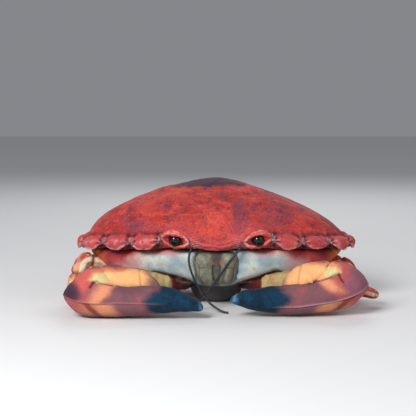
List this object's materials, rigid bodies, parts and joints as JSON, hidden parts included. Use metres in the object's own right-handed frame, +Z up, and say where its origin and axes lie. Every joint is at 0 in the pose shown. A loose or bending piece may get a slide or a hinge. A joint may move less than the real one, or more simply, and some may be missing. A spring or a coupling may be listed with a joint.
{
  "type": "plush crab",
  "caption": "Stuffed edible crab soft toy with a domed printed shell, gathered rim, bead eyes, cord antennae, folded claws and walking legs.",
  "frame": {"origin": "on the surface it stands on, under the middle of the crab's box without its antennae", "axes": "+X to the crab's own left, +Y towards its back, +Z up; the face looks along -Y"},
  "size_m": [0.2536, 0.2055, 0.1008],
  "materials": {
    "shell_print": "printed woven cotton, matt",
    "belly_print": "printed woven cotton, matt",
    "mouth_print": "printed woven cotton, matt",
    "lid_print": "printed woven cotton, matt",
    "bead": "polished black bead",
    "waxed_cord": "twisted waxed cord, half gloss",
    "claw_print": "printed woven cotton, matt",
    "finger_print": "printed woven cotton, matt",
    "arm_print": "printed woven cotton, matt",
    "leg_print": "printed woven cotton, matt"
  },
  "bodies": {
    "root": {"carapace": "shell_print", "underbody": "belly_print", "mouth_panel": "mouth_print", "eye_left": "bead", "eye_right": "bead", "eyelid_left": "lid_print", "eyelid_right": "lid_print", "antenna_left": "waxed_cord", "antenna_right": "waxed_cord", "claw_left": "claw_print", "claw_right": "claw_print", "claw_finger_left": "finger_print", "claw_finger_right": "finger_print", "arm_left": "arm_print", "arm_right": "arm_print", "leg_left_1": "leg_print", "leg_left_2": "leg_print", "leg_left_3": "leg_print", "leg_left_4": "leg_print", "leg_right_1": "leg_print", "leg_right_2": "leg_print", "leg_right_3": "leg_print", "leg_right_4": "leg_print"}
  },
  "joints": []
}
